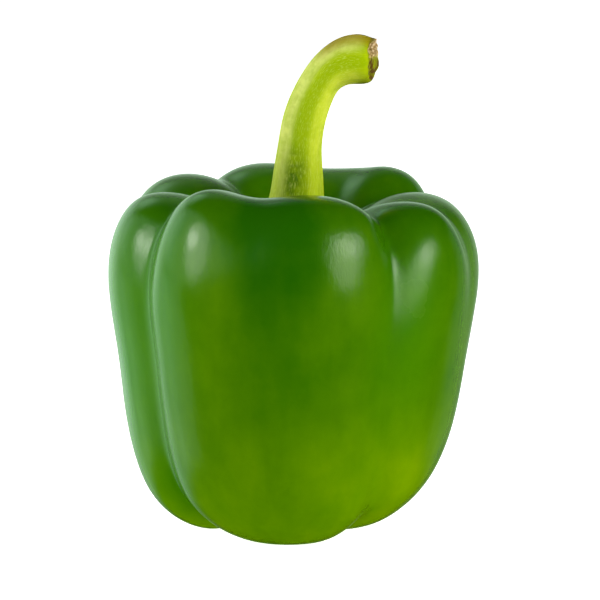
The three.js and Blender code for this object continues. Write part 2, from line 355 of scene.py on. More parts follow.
class ClosedGrid:
    """A closed surface of rows and columns whose first and last rows are single points."""

    def __init__(self, points: Array) -> None:
        """Keep the points.

        Args:
            points: Places in millimetres, of shape (rows, columns, 3). Columns run towards +X
                seen from the front, and rows run from the lower pole to the upper one.
        """
        self.points = points
        self.rows, self.columns = points.shape[:2]

    def normals(self) -> Array:
        """Work out outward normals: the cross product of the differences round and along.

        Returns:
            Unit vectors of shape (rows, columns, 3).
        """
        along = np.gradient(self.points, axis=0)
        around = np.roll(self.points, -1, axis=1) - np.roll(self.points, 1, axis=1)
        normal = np.cross(around, along)
        length = np.linalg.norm(normal, axis=2, keepdims=True)
        return normal / np.maximum(length, 1e-9)

    def pushed(self, distance: Array) -> "ClosedGrid":
        """Return the surface moved along its normals, with the poles left where they are.

        Args:
            distance: Outward move in millimetres, of shape (rows, columns).

        Returns:
            The moved surface.
        """
        moved = self.points + self.normals() * distance[..., None]
        moved[0] = self.points[0]
        moved[-1] = self.points[-1]
        return ClosedGrid(moved)

    def merged(self, values: Array) -> Array:
        """Return one value per vertex, with each pole's row as its mean."""
        flat = values[1:-1].reshape(-1, *values.shape[2:])
        return np.concatenate([values[:1].mean(1), flat, values[-1:].mean(1)])

    def faces(self) -> tuple[Array, Array]:
        """Number the corners of every face.

        Returns:
            The quads, and the triangles at the poles, as vertex numbers.
        """
        column = np.arange(self.columns)
        beside = (column + 1) % self.columns
        row = np.arange(self.rows - 3)[:, None]
        start = 1 + row * self.columns
        quads = np.stack(
            [start + column, start + beside, start + self.columns + beside, start + self.columns + column],
            axis=-1,
        ).reshape(-1, 4)
        last = 1 + (self.rows - 3) * self.columns
        top = last + self.columns
        under = np.stack([np.zeros_like(column), 1 + beside, 1 + column], axis=-1)
        over = np.stack([np.full_like(column, top), last + column, last + beside], axis=-1)
        return quads, np.concatenate([under, over])

    def grain(self) -> Array:
        """Lay out the UV map: u is the share of the way round and v that from pole to pole.

        Returns:
            One place per face corner.
        """
        column = np.arange(self.columns)[:, None]
        row = np.arange(1, self.rows - 2)[:, None, None]
        last = self.rows - 1
        corners = (
            (column + (0, 1, 1, 0), row + (0, 0, 1, 1)),
            (column + (0.5, 1, 0), (0, 1, 1)),
            (column + (0.5, 0, 1), (last, last - 1, last - 1)),
        )
        places = [np.stack(np.broadcast_arrays(u, v), axis=-1).reshape(-1, 2) for u, v in corners]
        return np.concatenate(places) / (self.columns, last)

    def build(self, name: str, shift: Sequence[float], masks: dict[str, Array]) -> bpy.types.Object:
        """Make the mesh object, smooth and with its UV map and masks.

        Args:
            name: Name of the piece.
            shift: Move in millimetres that centres the whole pepper.
            masks: Point values of shape (rows, columns) for the material, by name.

        Returns:
            The object, linked to the scene and at the origin.
        """
        vertices = (self.merged(self.points) + np.array(shift)) * MM
        quads, triangles = self.faces()
        mesh = bpy.data.meshes.new(name)
        mesh.from_pydata(vertices.tolist(), [], [*quads.tolist(), *triangles.tolist()])
        mesh.shade_smooth()
        mesh.uv_layers.new(name="grain").data.foreach_set("uv", self.grain().ravel())
        for mask, values in masks.items():
            layer = mesh.attributes.new(mask, "FLOAT", "POINT")
            layer.data.foreach_set("value", self.merged(values).astype(np.float32))
        piece = bpy.data.objects.new(name, mesh)
        bpy.context.scene.collection.objects.link(piece)
        return piece


class Band(Enum):
    """How a colour ramp goes from stop to stop."""

    STRAIGHT = "LINEAR"
    SOFT = "EASE"


class Step(Enum):
    """How a value goes from one end of its range to the other."""

    STRAIGHT = "LINEAR"
    SMOOTH = "SMOOTHSTEP"


class NodeTree:
    """The nodes of a light or of the surroundings, with short ways to add and join them."""

    def __init__(self, tree: bpy.types.NodeTree) -> None:
        """Keep the tree's nodes and links."""
        self.nodes, self.links = tree.nodes, tree.links

    def join(self, source: Value, target: Socket) -> None:
        """Link a socket to ``target``, or set a plain value on it."""
        if isinstance(source, Socket):
            self.links.new(source, target)
        else:
            target.default_value = source

    def add(self, kind: str, settings: dict[str, str], inputs: dict[str | int, Value]) -> bpy.types.Node:
        """Add a node.

        Args:
            kind: The end of Blender's name for it.
            settings: Its settings, by name.
            inputs: Sockets or plain values for its inputs, by name or number.

        Returns:
            The node.
        """
        node = self.nodes.new("ShaderNode" + kind)
        for name, value in settings.items():
            setattr(node, name, value)
        for name, value in inputs.items():
            self.join(value, node.inputs[name])
        return node

    def maths(self, kind: str, a: Value, b: Value) -> Socket:
        """Return the sum, product or other plain operation of two values."""
        return self.add("Math", {"operation": kind}, {0: a, 1: b}).outputs["Value"]

    def product(self, a: Value, b: Value) -> Socket:
        """Return the product of two values."""
        return self.maths("MULTIPLY", a, b)

    def fit(self, value: Socket, old: Pair, new: Pair = (0.0, 1.0), step: Step = Step.STRAIGHT) -> Socket:
        """Return ``value`` moved from the range ``old`` to the range ``new`` and held inside it."""
        ends = {"From Min": old[0], "From Max": old[1], "To Min": new[0], "To Max": new[1]}
        settings = {"interpolation_type": step.value}
        return self.add("MapRange", settings, {"Value": value, **ends}).outputs["Result"]

    def vector_maths(self, kind: str, *vectors: Value) -> bpy.types.Node:
        """Return a node that works on one to three vectors."""
        return self.add("VectorMath", {"operation": kind}, dict(enumerate(vectors)))

    def split(self, vector: Socket) -> list[Socket]:
        """Return the parts of a vector."""
        return list(self.add("SeparateXYZ", {}, {"Vector": vector}).outputs)


class NodeSheet(NodeTree):
    """A material whose nodes are added and joined in the same ways."""

    def __init__(self, name: str) -> None:
        """Make an empty material with a shader and an output.

        Args:
            name: Name of the material.
        """
        self.material = bpy.data.materials.new(name)
        self.material.use_nodes = True
        super().__init__(self.material.node_tree)
        self.shader = self.nodes["Principled BSDF"]
        self.place = self.add("TexCoord", {}, {}).outputs["Object"]

    def mask(self, name: str) -> Socket:
        """Return a point mask of the mesh."""
        return self.add("Attribute", {"attribute_name": name}, {}).outputs["Fac"]

    def uv(self) -> Socket:
        """Return the piece's own UV map."""
        return self.add("UVMap", {"uv_map": "grain"}, {}).outputs["UV"]

    def scaled(self, vector: Socket, scale: Triple) -> Socket:
        """Return ``vector`` stretched by ``scale``."""
        return self.add("Mapping", {}, {"Vector": vector, "Scale": scale}).outputs["Vector"]

    def noise(self, vector: Socket, scale: float, detail: float, rough: float) -> Socket:
        """Return a noise from 0 to 1, with ``scale`` bumps per unit and ``detail`` finer layers."""
        inputs = {"Vector": vector, "Scale": scale, "Detail": detail, "Roughness": rough}
        return self.add("TexNoise", {}, inputs).outputs["Fac"]

    def ramp(
        self, factor: Socket, stops: Iterable[tuple[float, Colour]], band: Band = Band.STRAIGHT
    ) -> Socket:
        """Return a colour that runs through stops.

        Args:
            factor: Position along the ramp.
            stops: Position and colour of each stop, in order.
            band: How it goes from stop to stop.

        Returns:
            The colour.
        """
        node = self.add("ValToRGB", {}, {"Fac": factor})
        node.color_ramp.interpolation = band.value
        elements = node.color_ramp.elements
        stops = list(stops)
        for element, (position, colour) in zip(elements, (stops[0], stops[-1])):
            element.position, element.color = position, colour
        for position, colour in stops[1:-1]:
            elements.new(position).color = colour
        return node.outputs["Color"]

    def blend(self, factor: Value, a: Value, b: Value, kind: str = "MIX") -> Socket:
        """Return the mix of the colours ``a`` and ``b``, with ``factor`` as the share of ``b``."""
        settings = {"data_type": "RGBA", "blend_type": kind}
        return self.add("Mix", settings, {0: factor, 6: a, 7: b}).outputs[2]

    def bump(
        self, height: Socket, strength: float, distance: float, under: Socket | None = None
    ) -> Socket:
        """Return a normal bent by a relief.

        Args:
            height: The relief between 0 and 1.
            strength: Share of it that is used.
            distance: Height of the relief in metres.
            under: Normal of a coarser relief that this one lies on.

        Returns:
            The normal.
        """
        inputs = {"Strength": strength, "Distance": distance, "Height": height}
        if under is not None:
            inputs["Normal"] = under
        return self.add("Bump", {}, inputs).outputs["Normal"]

    def finish(self, colour: Socket, roughness: Socket, normal: Socket) -> Material:
        """Join the last sockets to the shader.

        Args:
            colour: Base colour.
            roughness: Roughness.
            normal: Bent normal.

        Returns:
            The finished material.
        """
        for name, source in (("Base Color", colour), ("Roughness", roughness), ("Normal", normal)):
            self.join(source, self.shader.inputs[name])
        return self.material


@dataclass(frozen=True)
class WaxySkin:
    """Thin waxy skin: dark at the shoulders, yellower below, with fine streaks and wrinkles."""

    deep: Colour = srgb(29, 84, 0)
    leaf: Colour = srgb(52, 100, 0)
    grass: Colour = srgb(68, 112, 0)
    bright: Colour = srgb(83, 124, 0)
    lime: Colour = srgb(103, 139, 0)
    cool: Colour = srgb(54, 118, 0)
    scar: Colour = srgb(120, 104, 60)

    def material(self) -> Material:
        """Make the material of the skin.

        Returns:
            The material.
        """
        sheet = NodeSheet("waxy_skin")
        sheet.shader.inputs["IOR"].default_value = 1.42
        sheet.shader.inputs["Specular Tint"].default_value = (0.95, 1.0, 0.88, 1.0)
        streaks = sheet.noise(sheet.scaled(sheet.place, (260, 260, 60)), 1.0, 3.0, 0.55)
        mottle = sheet.noise(sheet.place, 130.0, 5.0, 0.6)
        shade = sheet.maths("ADD", sheet.mask("shade"), sheet.fit(streaks, (0.25, 0.75), (-0.05, 0.05)))
        shade = sheet.maths("ADD", shade, sheet.fit(mottle, (0.25, 0.75), (-0.08, 0.08)))
        greens = (self.deep, self.leaf, self.grass, self.bright, self.lime)
        colour = sheet.ramp(shade, zip((0.0, 0.33, 0.55, 0.75, 1.0), greens))
        colour = sheet.blend(sheet.mask("cool"), colour, self.cool)
        specks = sheet.noise(sheet.place, 2600.0, 2.0, 0.5)
        pores = sheet.ramp(specks, ((0.62, srgb(255, 255, 255)), (0.75, srgb(228, 240, 196))))
        colour = sheet.blend(0.5, colour, pores, "MULTIPLY")
        colour = sheet.blend(sheet.mask("scar"), colour, self.scar)
        roughness = sheet.fit(mottle, (0.3, 0.7), (0.15, 0.2))
        roughness = sheet.maths("ADD", roughness, sheet.product(sheet.mask("dull"), 0.28))
        wrinkles = sheet.noise(sheet.scaled(sheet.place, (900, 900, 380)), 1.0, 4.0, 0.55)
        skin_cells = sheet.noise(sheet.place, 1500.0, 2.0, 0.5)
        crinkles = sheet.noise(sheet.scaled(sheet.place, (1500, 1500, 500)), 1.0, 4.0, 0.6)
        crinkles = sheet.product(crinkles, sheet.mask("crinkle"))
        normal = sheet.bump(wrinkles, 0.1, 0.0004)
        normal = sheet.bump(crinkles, 0.25, 0.0004, normal)
        normal = sheet.bump(skin_cells, 0.06, 0.0002, normal)
        return sheet.finish(colour, roughness, normal)


@dataclass(frozen=True)
class RibbedStem:
    """Fibrous stem: yellow-green, paler on its left and right with painted light, with painted shade down
    its front and a dry, brown-rimmed cut.
    """

    rib: Colour = srgb(178, 202, 6)
    # The valley colour is painted shade for the front of the stem.
    groove: Colour = srgb(152, 180, 0)
    valley: Colour = srgb(138, 170, 0)
    painted_light_right: Colour = srgb(208, 220, 62)
    painted_light_left: Colour = srgb(220, 232, 118)
    base: Colour = srgb(60, 98, 0)
    calyx: Colour = srgb(84, 118, 2)
    speck: Colour = srgb(222, 234, 110)
    olive: Colour = srgb(148, 120, 14)
    knot: Colour = srgb(110, 118, 8)
    pith: Colour = srgb(190, 162, 108)
    dry: Colour = srgb(122, 98, 44)
    cream: Colour = srgb(226, 206, 178)
    rind: Colour = srgb(86, 62, 24)

    def material(self) -> Material:
        """Make the material of the stem, the calyx and the cut end.

        Returns:
            The material.
        """
        sheet = NodeSheet("ribbed_stem")
        sheet.shader.inputs["IOR"].default_value = 1.4
        sheet.shader.inputs["Specular IOR Level"].default_value = 0.05
        grain = sheet.uv()
        fibres = sheet.noise(sheet.scaled(grain, (90, 14, 1)), 1.0, 4.0, 0.6)
        specks = sheet.noise(sheet.scaled(grain, (150, 70, 1)), 1.0, 3.0, 0.6)
        clouds = sheet.noise(sheet.place, 320.0, 4.0, 0.6)
        uneven = sheet.fit(clouds, (0.35, 0.6), (0.45, 1))
        depth = sheet.maths("ADD", sheet.mask("groove"), sheet.fit(fibres, (0.25, 0.75), (-0.3, 0.3)))
        colour = sheet.ramp(depth, ((0.1, self.rib), (0.85, self.groove)), Band.SOFT)
        # Painted light on the stem's right and left sides, and painted shade down its front.
        for mask, shade in (("painted_light_right", self.painted_light_right), ("painted_light_left", self.painted_light_left), ("valley", self.valley)):
            colour = sheet.blend(sheet.product(sheet.mask(mask), uneven), colour, shade)
        colour = sheet.blend(sheet.product(sheet.mask("base"), uneven), colour, self.base)
        colour = sheet.blend(sheet.mask("calyx"), colour, self.calyx)
        speckle = sheet.product(sheet.fit(specks, (0.5, 0.68), (0, 0.35)), sheet.mask("fresh"))
        colour = sheet.blend(speckle, colour, self.speck)
        colour = sheet.blend(sheet.mask("olive"), colour, self.olive)
        colour = sheet.blend(sheet.mask("knot"), colour, self.knot)
        threads = sheet.noise(sheet.scaled(sheet.place, (500, 500, 1500)), 1.0, 3.0, 0.6)
        cut = sheet.ramp(threads, ((0.35, self.dry), (0.5, self.pith), (0.62, self.cream)))
        colour = sheet.blend(sheet.mask("pith"), colour, cut)
        colour = sheet.blend(sheet.product(sheet.mask("rind"), uneven), colour, self.rind)
        roughness = sheet.fit(fibres, (0.3, 0.7), (0.42, 0.6))
        normal = sheet.bump(fibres, 0.5, 0.0006)
        normal = sheet.bump(specks, 0.35, 0.0004, normal)
        return sheet.finish(colour, roughness, normal)


@dataclass(frozen=True)
class LitPaint:
    """Plain pale paint that glows like a light table, with a faint grain."""

    name: str
    glow: float
    greys: tuple[Colour, Colour]
    grain_scale: float
    roughness: Pair

    def material(self) -> Material:
        """Make the material of a piece of the studio.

        Returns:
            The material.
        """
        sheet = NodeSheet(self.name)
        sheet.shader.inputs["Emission Color"].default_value = (1, 1, 1, 1)
        sheet.shader.inputs["Emission Strength"].default_value = self.glow
        grain = sheet.noise(sheet.place, self.grain_scale, 2.0, 0.5)
        colour = sheet.ramp(grain, zip((0.3, 0.7), self.greys))
        roughness = sheet.fit(grain, (0.3, 0.7), self.roughness)
        return sheet.finish(colour, roughness, sheet.bump(grain, 0.02, 0.0005))


PALE_FLOOR = LitPaint("pale_floor", 1.05, (srgb(232, 232, 232), srgb(236, 236, 236)), 30.0, (0.8, 0.9))
PAPER = LitPaint("glowing_paper", 1.15, (srgb(244, 244, 244), srgb(248, 248, 248)), 3.0, (0.9, 1.0))


@dataclass
class SkinForm:
    """The shape of the skin, shared by the fruit and by the calyx that lies on it."""

    rings: tuple[Ring, ...] = RINGS
    furrows: tuple[Furrow, ...] = FURROWS
    swells: tuple[Swell, ...] = SWELLS
    drop_spread: float = 1.4
    full_swell_radius: float = 17.5

    @property
    def span(self) -> int:
        """Return the position of the top pole; the bottom pole is at 0."""
        return len(self.rings) - 1

    def ring_profile(self, ring: Ring, phi: Array) -> Array:
        """Work out one ring: its radius and height less its furrows, plus its swells.

        Args:
            ring: The ring.
            phi: Angles in radians.

        Returns:
            Radius and height at every angle, of shape (angles, 2).
        """
        radius = np.full_like(phi, ring.radius)
        height = np.full_like(phi, ring.height)
        if ring.radius == 0:
            return np.stack([radius, height], axis=-1)
        for furrow in self.furrows:
            angle = np.interp(ring.level, (0, 0.5, 1), furrow.angle)
            strength = np.interp(ring.level, (0, 0.5, 1, 1.5), furrow.strength)
            away = turn_between(phi, angle)
            width, roundness = math.radians(furrow.width), math.radians(furrow.roundness)
            wide = self.drop_spread
            radius -= ring.cut * strength * valley(away, width, roundness)
            height -= ring.drop * strength * valley(away, width * wide, roundness * wide)
        for swell in self.swells:
            share = bell_round(phi, swell.angle, swell.width)
            foot, side, crest = swell.radial
            steps = (foot, 0.2 * foot + 0.8 * side, side, crest, 0)
            radial = np.interp(ring.level, (0, 0.3, 0.5, 1, 1.5), steps)
            radius += share * radial * min(1, ring.radius / self.full_swell_radius)
            low, high = swell.lift
            lifts = (low, low, 0, 0, high, 0)
            height += share * np.interp(ring.level, (0, 0.25, 0.5, 0.7, 1, 1.5), lifts)
        return np.stack([radius, height], axis=-1)

    def points(self, t: Array, phi: Array) -> Array:
        """Work out places on the skin.

        The rings are mirrored past both poles so that the poles are smooth, and the spline's
        radius r and height z at an angle f stand at (r sin f, -r cos f, z).

        Args:
            t: Positions between the poles, of shape (samples, angles).
            phi: Angles in radians, of shape (angles,).

        Returns:
            Places in millimetres, of shape (samples, angles, 3).
        """
        profile = np.stack([self.ring_profile(ring, phi) for ring in self.rings])
        flip = np.array([-1, 1])
        profile = np.concatenate([profile[1:2] * flip, profile, profile[-2:-1] * flip])
        radius, height = np.moveaxis(spline(profile, t), -1, 0)
        return np.stack([radius * np.sin(phi), -radius * np.cos(phi), height], axis=-1)

    def furrow_depth(self, t: Array, phi: Array) -> Array:
        """Work out how deep places lie in the furrows: the sum of one smooth bump per furrow.

        Args:
            t: Positions between the poles, of shape (samples, angles).
            phi: Angles in radians, of shape (angles,).

        Returns:
            Depths from 0 to about 1.
        """
        levels = [ring.level for ring in self.rings]
        level = np.interp(t[:, 0], np.arange(len(levels)), levels)[:, None]
        depth = np.zeros_like(t)
        for furrow in self.furrows:
            angle = np.interp(level, (0, 0.5, 1), furrow.angle)
            strength = np.interp(level, (0, 0.5, 1, 1.5), furrow.strength)
            depth += strength * bell_round(phi, angle, furrow.width * 0.7)
        return depth


@dataclass
class Fruit:
    """The fruit with its skin: lobes, furrows, pressed feet, gentle dents and the blossom scar."""

    form: SkinForm
    shift: Triple
    rows: int = 150
    columns: int = 640
    inset: float = 0.05
    dent_depth: float = 0.12
    dent_lengths: Pair = (9, 26)
    dent_waves: int = 18
    dent_limit: float = 1.6
    flank_start: Pair = (1.5, 5)
    flank_end: Pair = (14, 12)
    # Painted shade: how much darker the skin is painted in the furrows, times their depth.
    furrow_painted_shade: float = -0.15
    mottle_shade: float = 0.04
    scar_radius: float = 2.2
    patches: tuple[Patch, ...] = PATCHES
    cool_patches: tuple[Patch, ...] = COOL_PATCHES
    crinkles: tuple[Patch, ...] = CRINKLES
    dull_patches: tuple[Patch, ...] = DULL_PATCHES
    shade_by_height: tuple[Pair, ...] = (
        (0, 0.85),
        (6, 0.78),
        (14, 0.7),
        (26, 0.6),
        (38, 0.55),
        (62, 0.52),
        (76, 0.44),
        (90, 0.3),
    )
    body: str = "root"
    node: str = "fruit"
    slot: str = "skin"

    def shade(self, points: Array, phi: Array, depth: Array) -> Array:
        """Work out the skin's shade: darker high up, with soft patches and painted shade along the furrows.

        Args:
            points: Places in millimetres.
            phi: Angles in radians.
            depth: How deep each place lies in a furrow.

        Returns:
            Shade from 0, deep green, to 1, lime.
        """
        height = points[..., 2]
        steps, shades = zip(*self.shade_by_height)
        shade = np.interp(height, steps, shades) + sum(patch.at(phi, height) for patch in self.patches)
        # Painted shade in the creases: darker along the furrows, by how deep each place lies in one.
        shade += self.furrow_painted_shade * np.clip(depth, 0, 1)
        return shade + self.mottle_shade * ripples(points, 8, 30, 16, seed=5)

    def build(self) -> bpy.types.Object:
        """Make the skin and dress it.

        Returns:
            The finished piece.
        """
        phi = np.linspace(0, 2 * np.pi, self.columns, endpoint=False)
        t = np.repeat(np.linspace(0, self.form.span, self.rows)[:, None], self.columns, axis=1)
        grid = ClosedGrid(self.form.points(t, phi))
        limit = self.dent_limit
        dents = ripples(grid.points * (1, 1, 0.6), *self.dent_lengths, self.dent_waves, seed=11)
        dents = np.clip(dents, -limit, limit)
        flank = smooth_step(*self.flank_start, t) * smooth_step(*self.flank_end, t)
        grid = grid.pushed(-self.inset + self.dent_depth * flank * (dents - limit) / 2)
        grid.points[..., 2] = np.maximum(grid.points[..., 2], 0)
        height = grid.points[..., 2]
        depth = self.form.furrow_depth(t, phi)
        radius = np.hypot(grid.points[..., 0], grid.points[..., 1])
        masks = {
            "shade": self.shade(grid.points, phi, depth),
            "cool": spread(self.cool_patches, phi, height),
            "crinkle": spread(self.crinkles, phi, height),
            "dull": spread(self.dull_patches, phi, height),
            "scar": bell(radius, self.scar_radius) * (t < self.form.span / 2),
        }
        piece = grid.build("pepper_skin", self.shift, masks)
        piece.data.materials.append(WaxySkin().material())
        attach(piece, self.body)
        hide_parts(self.node)
        return piece


@dataclass
class Stem:
    """The stem and its calyx, which lies in the hollow of the top a small gap above the skin."""

    form: SkinForm
    shift: Triple
    rings: tuple[StemRing, ...] = STEM_RINGS
    tip: Triple = (19.8, -2.65, 117.2)
    groove_angles: tuple[float, ...] = (4, 68, 128, 196, 252, 318)
    groove_strengths: tuple[float, ...] = (1.0, 0.7, 0.9, 1.0, 0.8, 0.9)
    groove_width: float = 15
    groove_round: float = 6
    rib_rise: float = 0.35
    calyx_gap: float = 0.35
    calyx_reach: float = 1.95
    calyx_point_reach: float = 0.38
    calyx_point_angles: tuple[float, ...] = (-8, 58, 131, 201, 276)
    calyx_point_width: float = 14
    calyx_edge_rise: float = 0.6
    calyx_top_rise: float = 1.7
    rows: int = 300
    columns: int = 180
    body: str = "root"
    node: str = "stem_and_calyx"
    slot: str = "stem"

    def groove_depth(self, theta: Array) -> Array:
        """Work out the grooves' depth round the stem: the sum of six valleys.

        Args:
            theta: Angles in radians.

        Returns:
            Depths from 0 to about 1.
        """
        depth = np.zeros_like(theta)
        width, roundness = math.radians(self.groove_width), math.radians(self.groove_round)
        for angle, strength in zip(self.groove_angles, self.groove_strengths):
            depth += strength * valley(turn_between(theta, angle), width, roundness)
        return depth

    def star(self, theta: Array) -> Array:
        """Return how near each angle is to a point of the calyx, from 0 to 1."""
        return sum(bell_round(theta, a, self.calyx_point_width) for a in self.calyx_point_angles)

    def ring_points(self, ring: StemRing, theta: Array) -> Array:
        """Work out one ring of the stem, on a plane that is tilted and turned with the stem.

        Args:
            ring: The ring.
            theta: Angles in radians.

        Returns:
            Places in millimetres, of shape (angles, 3).
        """
        side = heading(90 - ring.turn, -ring.tilt)
        front = heading(-ring.turn, 0)
        radius = ring.radius * (1 + ring.groove * (self.rib_rise - self.groove_depth(theta)))
        arms = np.sin(theta)[:, None] * side + np.cos(theta)[:, None] * front
        return np.array(ring.centre) + radius[:, None] * arms

    def above_skin(self, theta: Array, share: float, rise: float) -> Array:
        """Work out a row of the calyx: the skin's row at a share of its reach, plus a rise.

        Args:
            theta: Angles in radians.
            share: Share of the reach.
            rise: Rise over the gap in millimetres.

        Returns:
            Places in millimetres, of shape (angles, 3).
        """
        reach = self.calyx_reach + self.calyx_point_reach * self.star(theta)
        row = self.form.points((self.form.span - share * reach)[None], theta)[0]
        return row + (0, 0, self.calyx_gap + rise)

    def control_rows(self, theta: Array) -> Array:
        """Line up the rows from under the calyx, over its edge and up the stem to the cut end.

        Args:
            theta: Angles in radians.

        Returns:
            Places in millimetres, of shape (rows, angles, 3).
        """
        edge, top = (1.06, self.calyx_edge_rise), (0.94, self.calyx_top_rise)
        shares = ((0, 0), (0.35, 0), (0.7, 0), (0.96, 0), edge, top)
        rows = [self.above_skin(theta, share, rise) for share, rise in shares]
        rows += [self.ring_points(ring, theta) for ring in self.rings]
        rows.append(np.tile(np.array(self.tip), (len(theta), 1)))
        return np.stack([2 * rows[0] - rows[1], *rows, 2 * rows[-1] - rows[-2]])

    def relief(self, t: Array, theta: Array) -> Array:
        """Work out the fine relief: thin ridges along the stem and ribs out to the calyx's points.

        Args:
            t: Positions from pole to pole.
            theta: Angles in radians.

        Returns:
            Outward moves in millimetres.
        """
        ridges = 0.5 * np.sin(17 * theta + 0.7 * np.sin(t)) + 0.35 * np.sin(29 * theta + 1.3)
        on_stem = smooth_step(6.5, 8, t) * smooth_step(18, 17, t)
        ribs = self.star(theta) * bell(t - 5.6, 1.1)
        return -0.1 + 0.09 * ridges * on_stem + 0.35 * ribs

    def ragged_end(self, t: Array, theta: Array) -> Array:
        """Work out how far the cut end stands out: an uneven rim, a torn flap, a sunken pith.

        Args:
            t: Positions from pole to pole.
            theta: Angles in radians.

        Returns:
            Moves along the stem's end in millimetres.
        """
        rim = bell(t - 17.7, 0.55)
        uneven = 0.28 * np.sin(3 * theta + 0.6) + 0.2 * np.sin(7 * theta + 2.1) + 0.12 * np.sin(16 * theta)
        flap = bell_round(theta, -72, 17) - 0.9 * bell_round(theta, 60, 45)
        fibres = 0.12 * np.sin(11 * theta + 3 * t) * smooth_step(17.8, 18.4, t)
        return rim * (uneven - 0.25 + flap) + fibres

    def build(self) -> bpy.types.Object:
        """Make the stem and dress it.

        Returns:
            The finished piece.
        """
        theta = np.linspace(0, 2 * np.pi, self.columns, endpoint=False)
        control = self.control_rows(theta)
        last = len(control) - 3
        t = np.repeat(np.linspace(0, last, self.rows)[:, None], self.columns, axis=1)
        grid = ClosedGrid(spline(control, t)).pushed(self.relief(t, theta))
        end = self.rings[-2]
        outward = heading(90 - end.turn, 90 - end.tilt)
        grid.points += self.ragged_end(t, theta)[..., None] * outward
        grid.points[-1] = grid.points[-1].mean(0)
        masks = self.masks(t, theta, grid.points)
        piece = grid.build("pepper_stem", self.shift, masks)
        piece.data.materials.append(RibbedStem().material())
        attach(piece, self.body)
        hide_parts(self.node)
        return piece

    def masks(self, t: Array, theta: Array, points: Array) -> dict[str, Array]:
        """Work out where each shade of the stem lies.

        ``t`` counts the control rows: 6 is the calyx's slope, 8 the stem's base, 11 its upper
        part, 14 the end of the bend and 17 the rim of the cut.

        Args:
            t: Positions from pole to pole.
            theta: Angles in radians.
            points: Places in millimetres.

        Returns:
            Masks of shape (rows, columns), by name.
        """
        def side(degrees: float, half: float, firmness: float = 2) -> Array:
            """Return a mask round one side of the stem: exp(-|d / h| to the firmness)."""
            away = np.abs(turn_between(theta, degrees)) / math.radians(half)
            return np.exp(-(away**firmness))

        on_stem = smooth_step(6, 8, t) * smooth_step(17, 15.5, t)
        height = points[..., 2]
        end = smooth_step(17.1, 17.7, t)
        cut = smooth_step(114.8, 116.2, height) * end
        return {
            "groove": np.broadcast_to(self.groove_depth(theta), t.shape) * smooth_step(17.4, 16.4, t),
            "calyx": smooth_step(7.4, 5.8, t),
            "fresh": on_stem,
            # Painted light: the stem's right side, which faces the right lamps, is painted paler.
            "painted_light_right": side(62, 38, 6) * on_stem * (0.35 + 0.65 * smooth_step(8.4, 10.6, t)),
            # Painted light: the stem's left side, which faces the left lamps, is painted paler.
            "painted_light_left": side(-66, 42, 6) * on_stem * (0.5 + 0.5 * smooth_step(8.4, 10.6, t)),
            # Painted shade: the valley mask darkens the stem's front, between the sides that face the
            # lamps.
            "valley": side(-14, 12) * on_stem * smooth_step(13.5, 11.5, t) * 0.85,
            "base": side(-10, 28) * smooth_step(10.4, 9.0, t) * smooth_step(6, 7, t),
            "olive": side(-85, 44, 4) * smooth_step(13.6, 14.8, t) * smooth_step(17.6, 17.2, t) * 0.8,
            "knot": side(88, 50) * bell(t - 16.4, 1.1),
            "pith": cut,
            "rind": np.clip(end - cut, 0, 1) * 0.9 + 0.8 * bell(t - 17.3, 0.25) + 0.8 * bell(t - 18.2, 0.2),
        }


WHITE = (1.0, 1.0, 1.0)
LEAF = (0.62, 1.0, 0.74)


class Reach(Enum):
    """What a light shows in: the matt part of a finish or the glossy one."""

    MATT = "diffuse"
    GLOSS = "glossy"


class Outline(Enum):
    """The outline of a light as the skin mirrors it."""

    SQUARE = "square"
    ROUND = "round"


@dataclass(frozen=True)
class SoftLight:
    """A flat studio light that points at the pepper and fades towards its edges.

    ``fade`` is the share of its half width and half height over which it fades, or of its radius
    where it is round. ``tint`` is the colour of its light.
    """

    name: str
    reach: Reach
    azimuth: float
    elevation: float
    distance: float
    width: float
    height: float
    brightness: float
    fade: Pair = (0.0, 0.0)
    outline: Outline = Outline.SQUARE
    tint: Triple = WHITE
    least_fade: float = 0.01

    def build(self, aim: Vector) -> bpy.types.Object:
        """Hang the light and turn it to ``aim``.

        Args:
            aim: Point that it faces.

        Returns:
            The light.
        """
        data = bpy.data.lights.new(self.name, "AREA")
        data.shape = "RECTANGLE"
        data.size, data.size_y = self.width, self.height
        data.energy = self.brightness * math.pi * self.width * self.height
        data.color = self.tint
        lamp = bpy.data.objects.new(self.name, data)
        lamp.visible_camera = False
        lamp.visible_diffuse = self.reach is Reach.MATT
        lamp.visible_glossy = self.reach is Reach.GLOSS
        data.cycles.use_multiple_importance_sampling = self.reach is Reach.GLOSS
        away = Vector(heading(self.azimuth, self.elevation))
        lamp.location = aim + away * self.distance
        lamp.rotation_mode = "QUATERNION"
        lamp.rotation_quaternion = (-away).to_track_quat("-Z", "Y")
        bpy.context.scene.collection.objects.link(lamp)
        if self.reach is Reach.GLOSS:
            self.soften(data)
        return lamp

    def soften(self, data: bpy.types.Light) -> None:
        """Fade the light from full in its middle to nothing at its edges.

        With x and y from -1 to 1 across the light, a square one is as bright as the product of a
        smooth step of 1 - |x| and one of 1 - |y|, each over its fade. In a round one the radius
        takes the place of both.

        Args:
            data: The light.
        """
        data.use_nodes = True
        tree = NodeTree(data.node_tree)
        place = tree.add("NewGeometry", {}, {}).outputs["Parametric"]
        centred = tree.vector_maths("MULTIPLY_ADD", place, (2, 2, 0), (-1, -1, 0)).outputs["Vector"]
        if self.outline is Outline.ROUND:
            sides = [tree.vector_maths("LENGTH", centred).outputs["Value"]] * 2
        else:
            sides = tree.split(tree.vector_maths("ABSOLUTE", centred).outputs["Vector"])
        edges = [(1.0, 1.0 - max(share, self.least_fade)) for share in self.fade]
        steps = [tree.fit(side, edge, step=Step.SMOOTH) for side, edge in zip(sides, edges)]
        tree.join(tree.product(*steps), tree.nodes["Emission"].inputs["Strength"])


